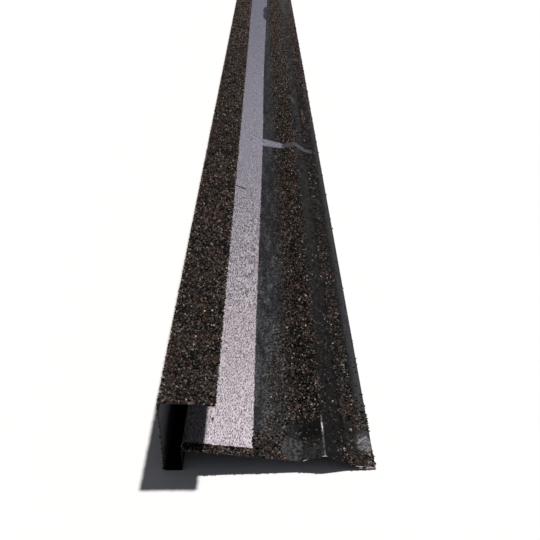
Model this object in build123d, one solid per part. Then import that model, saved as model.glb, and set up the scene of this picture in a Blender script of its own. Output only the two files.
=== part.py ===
from build123d import *

import os
from math import asin, atan2, cos, hypot, radians, sin

# Stone-coated steel rake trim, the piece that finishes the sloping edge of a metal roof.
# One strip of sheet steel is roll-formed to one section along its whole length:
# a capped channel that takes the cut edge of the roof panels, a narrow gutter that hangs over
# the edge of the roof, and a deck that lies on the roof and is nailed down, with one stiffening
# bead and a folded hem along its free edge.
#
# Frame: millimetres, +Z up, +Y along the trim. The trim lies as on a level floor, resting on the
# floor of its gutter and on the nose of its deck hem. The origin is under the middle of its box.

# The stock
stock_length = 2000.0
sheet = 0.5

# The outside of the section
overall_width = 140.0
leg_height = 58.0
cap_width = 36.0
cap_fall_degrees = 2.0
gutter_width = 12.7
riser_height = 17.5

# The bead that is rolled into the deck, measured on its underside
bead_from_riser = 94.0
bead_width = 31.0
bead_rise = 7.0
bead_foot_radius = 6.0
bead_crest_radius = 4.0

# Bends and folded edges, measured on the inside of the bend
bend_radius = 1.0
hem_radius = 0.4
cap_hem = 6.0
deck_hem = 12.0

node_name = "rake_trim"


def along(degrees_down):
    """Unit vector that points right and down by an angle, and the unit normal above it."""
    angle = radians(degrees_down)
    return Vector(cos(angle), -sin(angle)), Vector(sin(angle), cos(angle))


def deck_fall(riser_top, nose_centre):
    """Angle in radians of the line from the riser's top that meets the hem's inside fold at a tangent."""
    run = nose_centre.X - riser_top.X
    drop = riser_top.Y - nose_centre.Y
    return atan2(drop, run) - asin(hem_radius / hypot(run, drop))


def cap_edge(corner):
    """The cap from the end of its hem, round its nose and back to the outer corner, on its outer face."""
    out, up = along(cap_fall_degrees)
    nose_radius = hem_radius + sheet
    reach = (cap_width - nose_radius + nose_radius * up.X) / out.X
    nose_top = corner + out * reach
    nose_centre = nose_top - up * nose_radius
    nose_bottom = nose_centre - up * nose_radius
    hem = Line(nose_bottom - out * cap_hem, nose_bottom)
    nose = ThreePointArc(nose_bottom, nose_centre + out * nose_radius, nose_top)
    return [hem, nose], nose_top


def deck_edge(riser_top, right):
    """The deck hem's inside face, and the corner points of the beaded deck that leads to it."""
    nose_radius = hem_radius + sheet
    nose_centre = Vector(right - nose_radius, nose_radius)
    fall = deck_fall(riser_top, nose_centre)
    out = Vector(cos(fall), -sin(fall))
    up = Vector(sin(fall), cos(fall))
    bead = [
        riser_top + out * (bead_from_riser - bead_width / 2),
        riser_top + out * bead_from_riser + up * bead_rise,
        riser_top + out * (bead_from_riser + bead_width / 2),
    ]
    nose_top = nose_centre + up * hem_radius
    nose_bottom = nose_centre - up * hem_radius
    nose = ThreePointArc(nose_top, nose_centre + out * hem_radius, nose_bottom)
    hem = Line(nose_bottom, nose_bottom - out * deck_hem)
    return bead, nose_top, [nose, hem]


def trim_section():
    """The formed strip's section in X and Z: its outer face as one path, thickened to the inside."""
    left = -overall_width / 2
    right = overall_width / 2
    outer_bend = bend_radius + sheet
    corner = Vector(left, leg_height)
    riser_top = Vector(left + gutter_width, riser_height)
    cap, cap_start = cap_edge(corner)
    bead, deck_end, hem = deck_edge(riser_top, right)
    body = FilletPolyline(
        cap_start,
        corner,
        (left, 0),
        (left + gutter_width, 0),
        riser_top,
        *bead,
        deck_end,
        radius=[
            outer_bend,
            outer_bend,
            outer_bend,
            bend_radius,
            bead_foot_radius + sheet,
            bead_crest_radius,
            bead_foot_radius + sheet,
        ],
    )
    outer_face = Wire([*cap, *body.edges(), *hem])
    return make_face(outer_face.offset_2d(sheet, side=Side.LEFT, closed=True))


trim = extrude(Plane.XZ * trim_section(), amount=stock_length / 2, both=True)

os.makedirs("parts", exist_ok=True)
export_step(trim, f"parts/{node_name}.step")
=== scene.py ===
from math import radians

import bmesh
import bpy
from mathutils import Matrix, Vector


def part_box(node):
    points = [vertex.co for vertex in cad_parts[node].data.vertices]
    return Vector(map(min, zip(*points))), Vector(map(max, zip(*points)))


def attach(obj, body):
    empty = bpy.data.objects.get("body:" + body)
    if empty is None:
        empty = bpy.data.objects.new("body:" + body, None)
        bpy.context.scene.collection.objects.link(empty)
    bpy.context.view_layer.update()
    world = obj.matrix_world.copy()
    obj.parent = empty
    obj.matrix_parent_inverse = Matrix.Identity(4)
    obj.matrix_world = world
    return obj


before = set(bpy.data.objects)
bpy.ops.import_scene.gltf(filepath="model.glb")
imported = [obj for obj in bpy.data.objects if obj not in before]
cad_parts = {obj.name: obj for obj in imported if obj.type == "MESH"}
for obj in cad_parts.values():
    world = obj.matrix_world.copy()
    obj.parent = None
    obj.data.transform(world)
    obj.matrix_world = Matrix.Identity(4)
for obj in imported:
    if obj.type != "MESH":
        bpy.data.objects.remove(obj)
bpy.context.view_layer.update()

# The formed sheet: one strip of zinc-alloy coated steel, roll-formed to its section and sprayed on both
# faces with a satin black base coat. A mask with two arms kept the spray off one strip of the deck,
# which stays bare and silvery. The ends are cut raw.
mm = 0.001
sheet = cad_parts["rake_trim"]
sheet_low, sheet_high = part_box("rake_trim")
near_end = sheet_low.y
far_end = sheet_high.y
left_face = sheet_low.x
right_edge = sheet_high.x
gutter_width = 12.7 * mm
riser_face = left_face + gutter_width
leg_limit = left_face + 2 * mm
deck_level = 20 * mm
cap_level = 50 * mm
strip_width = 58.8 * mm

# How far a normal points up on the deck's top, out on the leg's outside and along on a cut end.
deck_facing = 0.3
leg_facing = -0.55
end_facing = 0.5

bare_steel = (0.565, 0.522, 0.564, 1)
bare_steel_dark = (0.076, 0.060, 0.078, 1)
# The far steel's bluer dark is painted shade and reflection of the dim sky along the strip.
far_steel_painted_shade = (0.056, 0.072, 0.135, 1)
# Bright steel for the scrape and the cut edges, also a painted highlight on the bead's crest.
bright_steel_and_highlight = (0.86, 0.80, 0.84, 1)
base_coat = (0.005, 0.005, 0.0055, 1)
# The lane's dusty grey, also a painted sheen on the hem and painted light inside the leg.
dust_and_sheen_grey = (0.112, 0.113, 0.126, 1)
# Worn grey coat, also a painted sheen along the hem's nose.
worn_and_sheen_grey = (0.056, 0.057, 0.059, 1)
tan_dust = (0.24, 0.17, 0.10, 1)
soil = (0.014, 0.012, 0.015, 1)
fine_blend = [
    (0.00, (0.002, 0.002, 0.002, 1)),
    (0.65, (0.005, 0.004, 0.004, 1)),
    (0.80, (0.035, 0.022, 0.016, 1)),
    (1.00, (0.110, 0.088, 0.075, 1)),
]


class Wire:
    """One socket of a node tree. Arithmetic and comparisons on wires add Math nodes to the tree."""

    def __init__(self, tree, socket=None):
        self.tree = tree
        self.socket = socket

    def add(self, kind, settings=None, sockets=None, out=0):
        """Adds any node: its settings first, then the values or links of its sockets."""
        node = self.tree.nodes.new(kind)
        for name, value in (settings or {}).items():
            if name == "stops":
                lay_stops(node.color_ramp, value)
            else:
                setattr(node, name, value)
        for key, value in (sockets or {}).items():
            if isinstance(value, Wire):
                self.tree.links.new(value.socket, node.inputs[key])
            else:
                node.inputs[key].default_value = value
        return Wire(self.tree, node.outputs[out] if len(node.outputs) else None)

    def other(self, output):
        """Another output of the node that this wire comes from."""
        return Wire(self.tree, self.socket.node.outputs[output])

    def maths(self, operation, *others):
        return self.add("ShaderNodeMath", {"operation": operation}, dict(enumerate([self, *others])))

    def __add__(self, other):
        return self.maths("ADD", other)

    def __radd__(self, other):
        return self.maths("ADD", other)

    def __sub__(self, other):
        return self.maths("SUBTRACT", other)

    def __rsub__(self, other):
        return self.add("ShaderNodeMath", {"operation": "SUBTRACT"}, {0: other, 1: self})

    def __mul__(self, other):
        return self.maths("MULTIPLY", other)

    def __rmul__(self, other):
        return self.maths("MULTIPLY", other)

    def __truediv__(self, other):
        return self.maths("DIVIDE", other)

    def __gt__(self, other):
        return self.maths("GREATER_THAN", other)

    def __lt__(self, other):
        return self.maths("LESS_THAN", other)

    def __abs__(self):
        return self.maths("ABSOLUTE")

    def most(self, other):
        return self.maths("MAXIMUM", other)

    def least(self, other):
        return self.maths("MINIMUM", other)

    def rise(self, low, high):
        """0 below low, 1 above high, and a smooth step between them."""
        return self.add(
            "ShaderNodeMapRange",
            {"interpolation_type": "SMOOTHSTEP"},
            {"Value": self, "From Min": low, "From Max": high},
        )

    def within(self, low, high, soft):
        """1 between low and high, with soft edges."""
        return self.rise(low - soft, low + soft) * (1 - self.rise(high - soft, high + soft))

    def split(self):
        """The three parts of a vector."""
        node = self.tree.nodes.new("ShaderNodeSeparateXYZ")
        self.tree.links.new(self.socket, node.inputs[0])
        return [Wire(self.tree, part) for part in node.outputs]

    def noise(self, stretch, detail=2.0, roughness=0.5):
        """Noise from 0 to 1 over this place. stretch is its grain along X, Y and Z in millimetres."""
        scaled = self.add(
            "ShaderNodeVectorMath",
            {"operation": "DIVIDE"},
            {0: self, 1: [size * mm for size in stretch]},
        )
        return self.add(
            "ShaderNodeTexNoise",
            sockets={"Vector": scaled, "Scale": 1.0, "Detail": detail, "Roughness": roughness},
        )

    def mix(self, first, second):
        """The first colour where this is 0, and the second where it is 1."""
        return self.add(
            "ShaderNodeMix",
            {"data_type": "RGBA"},
            {0: self, 6: first, 7: second},
            out=2,
        )


def lay_stops(ramp, stops):
    """Sets a colour ramp's stops, each a position and a colour."""
    while len(ramp.elements) < len(stops):
        ramp.elements.new(0.5)
    for element, (position, colour) in zip(ramp.elements, stops):
        element.position = position
        element.color = colour


def new_material(name):
    """An empty node material, and a wire to build it from."""
    material = bpy.data.materials.new(name)
    material.use_nodes = True
    material.node_tree.nodes.clear()
    return material, Wire(material.node_tree)


def finish_material(wire, shader):
    wire.add("ShaderNodeOutputMaterial", sockets={"Surface": shader})


# Marks on the deck, shared by the sheet and its granules. Places are measured across from the outer
# leg's face and along from the near end, in millimetres.
def across(distance):
    return left_face + distance * mm


def along(distance):
    return near_end + distance * mm


def band(x, y, start, end, half_widths):
    """A straight band from one place to another, with its half-width at each end."""
    end_softness = 0.03
    edge_from, edge_to = 0.8, 1.15
    (x0, y0), (x1, y1) = start, end
    share = (x - across(x0)) / ((x1 - x0) * mm)
    middle = along(y0) + share * ((y1 - y0) * mm)
    half_width = (half_widths[0] + share * (half_widths[1] - half_widths[0])) * mm
    reach = share.within(0.0, 1.0, end_softness)
    return reach * (1 - (abs(y - middle) / half_width).rise(edge_from, edge_to))


def spot(x, y, middle, half_sizes, core=0.55):
    """A soft oval patch, 1 in its core and 0 outside."""
    rim = 1.15
    dx = (x - across(middle[0])) / (half_sizes[0] * mm)
    dy = (y - along(middle[1])) / (half_sizes[1] * mm)
    return 1 - (dx * dx + dy * dy).rise(core, rim)


def first_arm(x, y):
    """Where one arm of the mask lay across the deck and over the bead."""
    return band(x, y, start=(58.0, 591.5), end=(131.0, 574.0), half_widths=(14.5, 5.5))


def second_arm(x, y):
    """Where the other arm lay, from the bead's crest to the hem."""
    return band(x, y, start=(103.0, 802.0), end=(141.0, 757.0), half_widths=(11.0, 12.0))


def worn_end(x, y):
    """The rubbed patch at the near end of the bead's foot."""
    return spot(x, y, middle=(86.0, 9.0), half_sizes=(9.0, 13.0))


def scraped_edge(x, y, core=0.55):
    """The scrape on the hem's near corner."""
    return spot(x, y, middle=(135.0, 23.0), half_sizes=(8.0, 12.0), core=core)


def smooth_tail(x, y):
    """The far stretch of the bead and flange where the coat holds few grains."""
    return spot(x, y, middle=(122.0, 1650.0), half_sizes=(19.0, 130.0))


def patches(place):
    """Slow patches that lie along the rolling, from -0.5 to 0.5."""
    return place.noise((5, 14, 14), detail=3.0, roughness=0.6) - 0.5


def end_band(place):
    """The band of coat and grains across the near end of the bare strip."""
    band_depth = 7.8
    band_reach = 62
    edge_waves = 3 * mm
    x, y = place.split()[:2]
    return (y + patches(place) * edge_waves < along(band_depth)) * (x < across(band_reach))


# Zones across the deck: where each starts and ends, and how soft its edges are.
lane_zone = (62 * mm, 80 * mm, 1 * mm)
crest_zone = (95 * mm, 108 * mm, 1.5 * mm)
fall_zone = (107 * mm, 121 * mm, 1.5 * mm)
flange_zone = (121 * mm, 132 * mm, 1.5 * mm)
hem_zone = (131 * mm, 141 * mm, 1 * mm)
near_patch_zone = (58 * mm, 82 * mm, 1.5 * mm)
open_coat_zone = (83 * mm, 112 * mm, 2 * mm)
fringe_foot = 68 * mm
fringe_end = 88 * mm
fringe_gain = 14 * mm
thick_foot = 81 * mm
thick_end = 104 * mm

# Stretches along the deck, over which the bands of grains draw back, thin out or thicken.
band_draws_back = (60 * mm, 200 * mm)
band_widens = (560 * mm, 760 * mm)
flange_gap = (14 * mm, 42 * mm, 5 * mm)
flange_thins = (60 * mm, 260 * mm)
flange_thins_more = (260 * mm, 420 * mm)
flange_thickens = (800 * mm, 1000 * mm)
hem_thins = (40 * mm, 80 * mm)
hem_thickens = (650 * mm, 900 * mm)
near_patch_ends = (18 * mm, 30 * mm)
open_coat_ends = (30 * mm, 40 * mm)


def deck_cover(place):
    """The share of the deck that grains cover at each place."""
    x, y = place.split()[:2]
    far = y - near_end
    width = x - left_face
    patchy = patches(place)
    ragged = width + patchy * (7 * mm)
    very_ragged = width + patchy * (16 * mm)
    jagged = far + patchy * (9 * mm)

    # The thin lane beside the strip, the fringe next to it and the thick band up to the bead's crest.
    lane = width.within(*lane_zone) * 0.02
    drawn_back = far.rise(*band_draws_back)
    fringe_start = fringe_foot + drawn_back * (7 * mm)
    thickening = ragged.rise(fringe_start, fringe_start + fringe_gain)
    fringe_share = 0.45 - drawn_back * 0.22 + thickening * 0.3
    fringe = ragged.within(fringe_start, fringe_end, 2 * mm) * fringe_share
    thick_start = thick_foot + drawn_back * (3 * mm) - far.rise(*band_widens) * (3 * mm)
    bead_band = ragged.within(thick_start, thick_end, 3 * mm) * (0.88 + patchy * 1.6)
    crest = very_ragged.within(*crest_zone) * (0.8 + patchy * 0.5)

    # The bead's fall holds few grains. The flange and the hem hold more or fewer along the trim.
    fall = ragged.within(*fall_zone) * (0.08 + patchy * 0.22)
    flange_share = 1 - far.rise(*flange_thins) * 0.35 - far.rise(*flange_thins_more) * 0.25
    flange_share = flange_share + far.rise(*flange_thickens) * 0.35
    near_share = 1 - far.within(*flange_gap) * 0.65
    flange = ragged.within(*flange_zone) * flange_share * near_share * (0.85 + patchy * 1.8)
    hem_share = 0.75 - far.rise(*hem_thins) * 0.69 + far.rise(*hem_thickens) * 0.4
    hem = ragged.within(*hem_zone) * hem_share
    cover = lane.most(fringe).most(bead_band).most(crest).most(fall).most(flange).most(hem)

    # The near end: a patch of grains by the strip, and open coat on the bead.
    near_patch = (1 - jagged.rise(*near_patch_ends)) * width.within(*near_patch_zone)
    open_coat = (1 - jagged.rise(*open_coat_ends)) * width.within(*open_coat_zone)
    cover = cover * (1 - open_coat * 0.85)
    cover = cover.most(end_band(place)).most(near_patch)

    # Where the mask lay or the coat is rubbed, few grains are left.
    clear = first_arm(x, y).most(second_arm(x, y) * 0.9).most(smooth_tail(x, y) * 0.75)
    clear = clear.most(worn_end(x, y) * 0.9).most(scraped_edge(x, y) * 0.95)
    return cover * (1 - clear)


coated_steel, start = new_material("coated_steel")
place = start.add("ShaderNodeTexCoord", out="Object")
x, y, z = place.split()
facing_x, facing_y, facing_z = start.add("ShaderNodeNewGeometry", out="True Normal").split()

deck_top = (facing_z > deck_facing) * (z < deck_level) * (x > riser_face - 0.4 * mm)
leg_inside_painted_light = (facing_x > 0.5) * (x < leg_limit)
cut_end = abs(facing_y) > end_facing

# The bare steel: the strip that the mask left, which widens along the trim and has a ragged edge.
edge_waves = place.noise((1.6, 5, 5)) - 0.5
near_widening = y.rise(along(0), along(700)) * 5.2
far_widening = y.rise(along(750), along(1900)) * 9.0
strip_edge = left_face + strip_width + (near_widening + far_widening) * mm
strip = 1 - (x + edge_waves * (1.6 * mm) - strip_edge).rise(-0.5 * mm, 0.5 * mm)
strip = strip * (1 - end_band(place))
arm_fade = 1 - x.rise(across(88), across(92)) * 0.68
arm_mark = first_arm(x, y) * arm_fade * 0.82

# The scrape on the hem, as crossing scratches, and the rub along the bead's crest: bare metal there,
# painted brighter in a short stretch as a painted highlight along the crest.
scratch_lean = 0.7
leaning = start.add(
    "ShaderNodeVectorRotate",
    {"rotation_type": "Z_AXIS"},
    {"Vector": place, "Angle": scratch_lean},
)
scratches = leaning.noise((0.6, 8, 8), 3.0).rise(0.50, 0.58)
crossing_scratches = leaning.noise((7, 0.6, 8), 3.0).rise(0.54, 0.60)
fraying = (leaning.noise((2.5, 4, 4), 3.0) - 0.5) * 3.0
frayed = scraped_edge(x, y, core=0.0) * 1.4 + fraying
scrape = scraped_edge(x, y).rise(0.02, 0.25) * frayed.rise(0.6, 1.3)
scrape = scrape * (0.05 + scratches.most(crossing_scratches) * 0.34)
crest_line = x.within(across(105.5), across(106.6), 0.35 * mm)
flaking = place.noise((1.2, 3, 5)).rise(0.42, 0.62)
bright_rub_and_highlight = y.within(along(21), along(32), 3 * mm) * (0.6 + flaking * 0.4)
faint_rub_and_highlight = (1 - y.rise(along(38), along(48))) * flaking * 0.25
crest_rub_and_highlight = crest_line * bright_rub_and_highlight.most(faint_rub_and_highlight)
bare = deck_top * strip.most(arm_mark).most(scrape).most(crest_rub_and_highlight)

# Rolling streaks in the steel, coarser at mid length. Along the strip the steel is painted lighter at
# the near end and darker and bluer toward the far end: painted shade and reflection for the view along
# it.
streaks = place.noise((0.5, 2.4, 2.4), 1.0) * 0.5 + place.noise((0.4, 0.9, 0.9), 1.0) * 0.5
coarse_share = y.within(along(140), along(430), 80 * mm) * 0.35
streaks = streaks + (place.noise((1.3, 5, 5), 1.0) - 0.5) * coarse_share
painted_distance_shade = y.rise(along(40), along(420)) * 0.18 - 0.09 + y.rise(along(500), along(1700)) * 0.25
steel_dark_and_far_shade = y.rise(along(120), along(600)).mix(bare_steel_dark, far_steel_painted_shade)
steel_colour = (streaks.rise(0.42, 0.58) - painted_distance_shade).mix(steel_dark_and_far_shade, bare_steel)
steel_colour = scrape.most(crest_rub_and_highlight).mix(steel_colour, bright_steel_and_highlight)

# Soil on the strip: a dark blotch at its far edge, a short fibre and a speck.
blotch_spot = spot(x, y, middle=(68.5, 1522.0), half_sizes=(7.0, 100.0))
blotch_waves = (place.noise((3, 26, 26)) - 0.5) * 3.0
blotch = blotch_spot.rise(0.02, 0.2) * (blotch_spot + blotch_waves).rise(0.45, 0.8)
fibre = band(x, y, start=(33.1, 433.4), end=(44.9, 425.1), half_widths=(1.6, 1.6))
speck = spot(x, y, middle=(30.8, 32.2), half_sizes=(1.0, 1.6))
soiled = deck_top * fibre.most(speck).most(blotch * 0.9)

# The base coat: satin black, dusted grey in the lane beside the strip. The same grey on the hem is a
# painted sheen, and inside the leg it is painted light in the leg's shade.
dusty = place.noise((3, 40, 40), 4.0, 0.6)
grit = place.noise((1.5, 3, 3), 3.0, 0.7).rise(0.43, 0.60)
mottled = place.noise((5, 22, 22)).rise(0.35, 0.65)
# The lane's grey fades past the near stretch and is painted lighter again toward the far end, painted
# light for the view along the deck.
lane_fade_and_far_light = 1 - y.rise(along(120), along(500)) * 0.38 + y.rise(along(900), along(1400)) * 0.25
lane = x.within(across(55), across(83), 5 * mm) * (dusty * 0.12 + grit * 0.54)
lane = lane * lane_fade_and_far_light * (0.45 + mottled * 1.1)
painted_hem_sheen = deck_top * x.rise(across(131), across(138)) * (0.2 + dusty * 0.25)
coat_colour = lane.most(leg_inside_painted_light).most(painted_hem_sheen).mix(base_coat, dust_and_sheen_grey)

# Wear of the coat: pits at the near end, a smooth far stretch and the second arm's mark; the lighter
# grey on the hem's nose is a painted sheen.
pitted = place.noise((2.2, 3, 3), 3.0)
pits = worn_end(x, y) * 0.75 + (pitted - 0.5) * 3.4
worn_patch = worn_end(x, y).rise(0.02, 0.2) * pits.rise(0.4, 1.0)
worn_tail = smooth_tail(x, y) * (dusty * 2.4 - 0.55)
worn_corner = scraped_edge(x, y) * 0.3
worn_arm = second_arm(x, y) * (1 - x.rise(across(112), across(119))) * 0.8
worn_foot = (1 - y.rise(along(8), along(22))) * x.within(across(92), across(106), 3 * mm)
painted_nose_sheen = (facing_x > 0.4) * (x > right_edge - 1.2 * mm) * 0.7
wear_and_nose_sheen = worn_patch.most(worn_tail).most(worn_corner).most(worn_arm)
wear_and_nose_sheen = wear_and_nose_sheen.most(worn_foot * (pitted - 0.1)).most(painted_nose_sheen)
coat_colour = wear_and_nose_sheen.mix(coat_colour, worn_and_sheen_grey)
lengthwise = place.noise((0.7, 9, 9), 3.0).rise(0.46, 0.58)
tan_rub = spot(x, y, middle=(125.2, 725.0), half_sizes=(2.2, 40.0)) * lengthwise
coat_colour = (tan_rub * 0.8).mix(coat_colour, tan_dust)

# The bed of finer stone between the large granules.
fine_grains = 850.0
cap_bed = (z > cap_level) * (facing_z + facing_x.most(0) > 0.25)
leg_bed = (facing_x < leg_facing) * (x < leg_limit) * (z > 2 * mm)
fine = start.add("ShaderNodeTexVoronoi", sockets={"Vector": place, "Scale": fine_grains}, out="Color")
hollow = fine.other("Distance")
fine_tint, fine_chance = fine.split()[:2]
fall_specks = x.within(across(107), across(122), 1.5 * mm) * 0.25
fine_cover = (deck_cover(place) * 0.9).most(fall_specks)
deck_bed = deck_top * (fine_chance < fine_cover).most(end_band(place))
bed = cap_bed.most(leg_bed).most(deck_bed) * (1 - cut_end)
bed_colour = start.add("ShaderNodeValToRGB", {"stops": fine_blend}, {"Fac": fine_tint})

# The finishes together, with raw metal that glints on three places of the cut ends.
colour = bed.mix(coat_colour, bed_colour)
colour = bare.mix(colour, steel_colour)
colour = soiled.mix(colour, soil)
foot_glint = x.within(across(91), across(94.5), 0.4 * mm)
crest_glint = x.within(across(104.5), across(107.5), 0.4 * mm)
hem_glint = x.within(across(127), across(139.5), 0.5 * mm)
raw_edge = cut_end * foot_glint.most(crest_glint).most(hem_glint) * 0.8 * (z < deck_level)
colour = raw_edge.mix(colour, bright_steel_and_highlight)
metal = (bare * (1 - cut_end) * (1 - soiled) * 0.74).most(raw_edge)
coat_roughness = 0.30 + dusty * 0.10 + bed * 0.2
steel_roughness = 0.49 + streaks * 0.08
roughness = coat_roughness * (1 - bare) + steel_roughness * bare
peel = place.noise((0.5, 0.5, 0.5), 2.0)
relief = streaks * 0.6 * bare + peel * 0.8 * (1 - bare) * (1 - bed) - hollow * 2.5 * bed
bump = start.add("ShaderNodeBump", sockets={"Strength": 0.25, "Distance": 0.25 * mm, "Height": relief})
finish_material(
    start,
    start.add(
        "ShaderNodeBsdfPrincipled",
        sockets={
            "Base Color": colour,
            "Metallic": metal,
            "Roughness": roughness,
            "Specular IOR Level": 0.16,
            "Normal": bump,
        },
    ),
)
sheet.data.materials.clear()
sheet.data.materials.append(coated_steel)

# The stone granules: crushed stone with a fired ceramic colour, about a millimetre across, dropped
# on to the wet base coat and sealed there. One blend of black, dark brown, rust and tan grains
# covers the cap, the outer leg and two bands of the deck.
stone_blend = [
    (0.00, (0.002, 0.002, 0.002, 1)),
    (0.38, (0.200, 0.168, 0.146, 1)),
    (0.58, (0.430, 0.395, 0.360, 1)),
    (0.63, (0.042, 0.028, 0.023, 1)),
    (0.80, (0.150, 0.080, 0.055, 1)),
]
bake_map = "OFBake"

stone, start = new_material("stone_granules")
tint = start.add("ShaderNodeAttribute", {"attribute_name": "tint"}, out="Fac")
shade = start.add("ShaderNodeAttribute", {"attribute_name": "shade"}, out="Fac")
blend = start.add("ShaderNodeValToRGB", {"stops": stone_blend}, {"Fac": tint})
blend.socket.node.color_ramp.interpolation = "CONSTANT"
brightness = shade * shade * 1.5 + 0.4
shaded = start.add(
    "ShaderNodeVectorMath",
    {"operation": "SCALE"},
    {"Vector": blend, "Scale": brightness},
)
finish_material(
    start,
    start.add(
        "ShaderNodeBsdfPrincipled",
        sockets={"Base Color": shaded, "Roughness": 0.45, "Specular IOR Level": 0.14},
    ),
)

# One crushed grain: a crooked four-sided foot that narrows to a ridge.
grain_corners = [
    (-0.95, -0.60, -0.2),
    (0.85, -0.70, -0.2),
    (1.00, 0.55, -0.2),
    (-0.80, 0.70, -0.2),
    (-0.45, 0.05, 1.05),
    (0.40, -0.10, 1.25),
]
grain_faces = [(0, 1, 5), (0, 5, 4), (1, 2, 5), (2, 3, 4), (2, 4, 5), (3, 0, 4)]
grain_mesh = bpy.data.meshes.new("grain")
grain_mesh.from_pydata(grain_corners, [], grain_faces)
grain_form = bpy.data.objects.new("grain_form", grain_mesh)
slightest_grain = (0.75, 0.75, 0.6)
stoutest_grain = (1.2, 1.2, 1.2)
grain_turn = (0.3, 0.3, 3.14)
grain_chip = (0.12 * mm,) * 3
tone_spread = (0.004,) * 3


def random_value(wire, low, high, seed, kind="FLOAT"):
    """A random value for each element, a number or a vector."""
    first = 0 if kind == "FLOAT_VECTOR" else 2
    return wire.add(
        "FunctionNodeRandomValue",
        {"data_type": kind},
        {first: low, first + 1: high, "Seed": seed},
        out=0 if kind == "FLOAT_VECTOR" else 1,
    )


def random_vector(wire, reach, seed):
    """A random vector for each element, up to its reach either way."""
    return random_value(wire, [-part for part in reach], reach, seed, "FLOAT_VECTOR")


def stored(wire, geometry, name, value, domain, kind="FLOAT"):
    """Geometry with a named attribute on it."""
    return wire.add(
        "GeometryNodeStoreNamedAttribute",
        {"data_type": kind, "domain": domain},
        {"Geometry": geometry, "Name": name, "Value": value},
    )


def granule_tree(name, cover=None, fineness=None):
    """Scatters grains on a bed of faces, kept where cover allows."""
    tree = bpy.data.node_groups.new(name, "GeometryNodeTree")
    tree.interface.new_socket("Geometry", in_out="OUTPUT", socket_type="NodeSocketGeometry")
    inputs = {
        "Bed": "NodeSocketGeometry",
        "Grain": "NodeSocketObject",
        "Stone": "NodeSocketMaterial",
        "Spacing": "NodeSocketFloat",
        "Density": "NodeSocketFloat",
        "Smallest": "NodeSocketFloat",
        "Largest": "NodeSocketFloat",
        "Seed": "NodeSocketInt",
    }
    for label, kind in inputs.items():
        tree.interface.new_socket(label, in_out="INPUT", socket_type=kind)
    entry = tree.nodes.new("NodeGroupInput")
    given = {label: Wire(tree, entry.outputs[label]) for label in inputs}
    start = Wire(tree)
    grain = start.add("GeometryNodeObjectInfo", sockets={"Object": given["Grain"]}, out="Geometry")
    place = start.add("GeometryNodeInputPosition")

    # Points at least one spacing apart, thinned to the cover.
    points = start.add(
        "GeometryNodeDistributePointsOnFaces",
        {"distribute_method": "POISSON"},
        {
            "Mesh": given["Bed"],
            "Distance Min": given["Spacing"],
            "Density Max": given["Density"],
            "Seed": given["Seed"],
        },
    )
    upright = points.other("Rotation")
    kept = points
    if cover:
        loose = random_value(start, 0.0, 1.0, given["Seed"] + 1)
        kept = start.add(
            "GeometryNodeDeleteGeometry",
            {"domain": "POINT"},
            {"Geometry": points, "Selection": loose > cover(place)},
        )

    # One grain on each point, with its own size, shape and turn.
    size = random_value(start, given["Smallest"], given["Largest"], given["Seed"] + 2)
    if fineness:
        size = size * fineness(place)
    shape = random_value(start, slightest_grain, stoutest_grain, given["Seed"] + 3, "FLOAT_VECTOR")
    scale = start.add("ShaderNodeVectorMath", {"operation": "SCALE"}, {0: shape, "Scale": size})
    turn = random_vector(start, grain_turn, given["Seed"] + 4)
    seated = start.add(
        "FunctionNodeRotateRotation",
        {"rotation_space": "LOCAL"},
        {"Rotation": upright, "Rotate By": turn},
    )
    grains = start.add(
        "GeometryNodeInstanceOnPoints",
        sockets={"Points": kept, "Instance": grain, "Rotation": seated, "Scale": scale},
    )

    # Its place in the blend, in clumps of like grains, and its brightness, raised toward the far end as
    # painted light on the grain tops seen there.
    clumps = place.noise((14, 14, 14), 2.0) - 0.5
    tint = random_value(start, 0.05, 0.95, given["Seed"] + 5) + clumps * 1.1
    tint = tint.most(0.0).least(1.0)
    if fineness:
        tint = tint * fineness(place)
    far_painted_light = place.split()[1].rise(along(500), along(1500)) * 0.32
    shade = (random_value(start, 0.0, 1.0, given["Seed"] + 6) + far_painted_light).least(1.0)
    grains = stored(start, grains, "tint", tint, "INSTANCE")
    grains = stored(start, grains, "shade", shade, "INSTANCE")
    solid = start.add("GeometryNodeRealizeInstances", sockets={"Geometry": grains})
    chipped = random_vector(start, grain_chip, given["Seed"] + 7)
    solid = start.add("GeometryNodeSetPosition", sockets={"Geometry": solid, "Offset": chipped})

    # Each grain lies on the map by its own two tones, so that one picture of the blend fits them all.
    u = start.add("GeometryNodeInputNamedAttribute", {"data_type": "FLOAT"}, {"Name": "tint"})
    v = start.add("GeometryNodeInputNamedAttribute", {"data_type": "FLOAT"}, {"Name": "shade"})
    spread = random_vector(start, tone_spread, given["Seed"] + 8)
    tones = start.add("ShaderNodeCombineXYZ", sockets={"X": u, "Y": v})
    tones = start.add("ShaderNodeVectorMath", {"operation": "ADD"}, {0: tones, 1: spread})
    solid = stored(start, solid, bake_map, tones, "CORNER", "FLOAT2")
    solid = start.add("GeometryNodeSetMaterial", sockets={"Geometry": solid, "Material": given["Stone"]})
    start.add("NodeGroupOutput", sockets={"Geometry": solid})
    return tree


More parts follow.
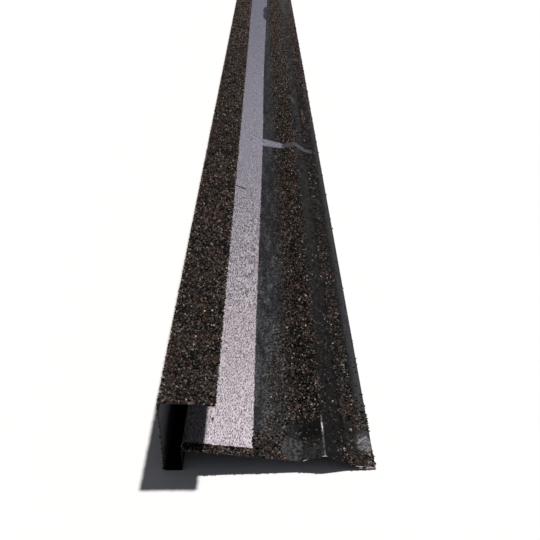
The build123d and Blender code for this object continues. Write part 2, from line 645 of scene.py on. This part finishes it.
def lay_granules(name, tree, wanted, stretch, values):
    """Scatters grains once over the wanted faces of one stretch, and keeps them as a plain mesh."""
    bed = bmesh.new()
    bed.from_mesh(sheet.data)
    unwanted = [face for face in bed.faces if not wanted(face.calc_center_median(), face.normal)]
    bmesh.ops.delete(bed, geom=unwanted, context="FACES")
    for cut, way in zip(stretch, (-1, 1)):
        everything = [*bed.verts, *bed.edges, *bed.faces]
        bmesh.ops.bisect_plane(
            bed, geom=everything, plane_co=(0, cut, 0), plane_no=(0, way, 0), clear_outer=True
        )
    bed_mesh = bpy.data.meshes.new(name)
    bed.to_mesh(bed_mesh)
    bed.free()
    piece = bpy.data.objects.new(name, bed_mesh)
    bpy.context.scene.collection.objects.link(piece)
    modifier = piece.modifiers.new("granules", "NODES")
    modifier.node_group = tree
    for item in tree.interface.items_tree:
        if item.name in values:
            modifier[item.identifier] = values[item.name]
    graph = bpy.context.evaluated_depsgraph_get()
    mesh = bpy.data.meshes.new_from_object(
        piece.evaluated_get(graph), preserve_all_data_layers=True, depsgraph=graph
    )
    piece.modifiers.clear()
    piece.data = mesh
    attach(piece, "root")


grain_sizes = {
    "Grain": grain_form,
    "Stone": stone,
    "Density": 1.6 / mm**2,
    "Smallest": 0.46 * mm,
    "Largest": 0.98 * mm,
}
close_spacing = 0.88 * mm
wide_spacing = 1.08 * mm
seed_step = 20
middle = (near_end + far_end) / 2
halves = {"near": (near_end, middle), "far": (middle, far_end)}


def lay_coat(name, tree, wanted, spacing, first_seed):
    """Lays one coat of granules as two pieces, each on half of the length."""
    for number, (half, stretch) in enumerate(halves.items()):
        values = grain_sizes | {"Spacing": spacing, "Seed": first_seed + seed_step * number}
        lay_granules(f"{name}_{half}", tree, wanted, stretch, values)


plain_tree = granule_tree("granules")

# The cap's granules: a dense coat of the stone blend over its top and round its folded nose, bonded
# to the base coat of the formed strip. It is the face of the trim that shows most on a roof.
cap_slope = 0.0349
cap_skin = 0.6 * mm
cap_nose = left_face + 35 * mm
cap_facing = 0.25


def cap_face(centre, facing):
    top = sheet_high.z - (centre.x - left_face) * cap_slope
    on_top = facing.z > cap_facing and centre.z > top - cap_skin
    on_nose = facing.x > cap_facing and centre.z > cap_level and centre.x > cap_nose
    return abs(facing.y) < end_facing and (on_top or on_nose)


lay_coat("cap_granules", plain_tree, cap_face, close_spacing, first_seed=100)

# The outer leg's granules: the same coat on the outside of the leg, a little more open, from the
# corner of the cap down to the bend at the leg's foot.


def leg_face(centre, facing):
    return facing.x < leg_facing and centre.x < leg_limit


lay_coat("leg_granules", plain_tree, leg_face, wide_spacing, first_seed=200)

# The deck's granules: a band that thickens from a thin fringe up to the bead's crest, a second band
# on the flange, a strip across the near end, and loose grains between them. The rest of the deck
# stays open coat and bare steel.
fringe_fineness = 0.78


def deck_face(centre, facing):
    return facing.z > deck_facing and centre.z < deck_level and centre.x > riser_face - 0.2 * mm


def deck_fineness(place):
    """Grains are finer in the thin fringe beside the strip, but not at the near end."""
    x, y = place.split()[:2]
    full = (x - left_face).rise(72 * mm, 86 * mm).most(1 - y.rise(along(24), along(34)))
    return fringe_fineness + full * (1 - fringe_fineness)


deck_tree = granule_tree("deck_granules", deck_cover, deck_fineness)
lay_coat("deck_granules", deck_tree, deck_face, close_spacing, first_seed=300)

bpy.data.objects.remove(grain_form)

# The stage: a plain white floor, one soft sun from above and behind, and a dim sky. The camera and
# reflections see a pale horizon in it, but not past the far end, where the sky stays dim.
floor_half = 60.0
floor_white = (0.98, 0.98, 0.98, 1)
floor_corners = [
    (-floor_half, -floor_half, 0),
    (floor_half, -floor_half, 0),
    (floor_half, floor_half, 0),
    (-floor_half, floor_half, 0),
]
floor_mesh = bpy.data.meshes.new("floor")
floor_mesh.from_pydata(floor_corners, [], [(0, 1, 2, 3)])
floor = bpy.data.objects.new("floor", floor_mesh)
bpy.context.scene.collection.objects.link(floor)
white_floor, start = new_material("white_floor")
finish_material(start, start.add("ShaderNodeBsdfDiffuse", sockets={"Color": floor_white}))
floor_mesh.materials.append(white_floor)

key_from = (0.236, 0.30, 1.0)
key_lamp = bpy.data.lights.new("key", "SUN")
key_lamp.energy = 3.3
key_lamp.angle = radians(3)
key_lamp.color = (1.0, 0.975, 0.95)
key = bpy.data.objects.new("key", key_lamp)
key.rotation_euler = Vector(key_from).to_track_quat("Z", "Y").to_euler()
bpy.context.scene.collection.objects.link(key)

low_sky = (0.031, 0.032, 0.038, 1)
high_sky = (0.082, 0.085, 0.096, 1)
far_glow = (0.085, 0.085, 0.1, 1)
pale_horizon = (0.85, 0.855, 0.865, 1)
world = bpy.data.worlds.new("dim_sky")
world.use_nodes = True
world.node_tree.nodes.clear()
sky = Wire(world.node_tree)
behind, height = sky.add("ShaderNodeTexCoord", out="Generated").split()[1:]
glow = behind.rise(0.3, 1.0) * (1 - height.rise(0.1, 0.5))
sky_colour = height.rise(0.05, 0.75).mix(low_sky, high_sky)
sky_colour = glow.mix(sky_colour, far_glow)
camera_ray = sky.add("ShaderNodeLightPath", out="Is Camera Ray")
seen = camera_ray.most(camera_ray.other("Is Glossy Ray")).most(camera_ray.other("Is Transmission Ray"))
pale = seen * (1 - height.rise(0.28, 0.55)) * (1 - behind.rise(0.25, 0.6))
sky_colour = pale.mix(sky_colour, pale_horizon)
light = sky.add("ShaderNodeBackground", sockets={"Color": sky_colour, "Strength": 1.0})
sky.add("ShaderNodeOutputWorld", sockets={"Surface": light})
bpy.context.scene.world = world

camera_pitch = 30.39
camera_yaw = -0.35
camera_data = bpy.data.cameras.new("camera")
camera_data.sensor_width = 36
camera_data.lens = 46.9
camera = bpy.data.objects.new("camera", camera_data)
camera.location = (-1.9 * mm, -1334.6 * mm, 349.6 * mm)
camera.rotation_euler = (radians(90 - camera_pitch), 0, radians(camera_yaw))
bpy.context.scene.collection.objects.link(camera)
bpy.context.scene.camera = camera

bpy.context.scene.view_settings.view_transform = "Standard"
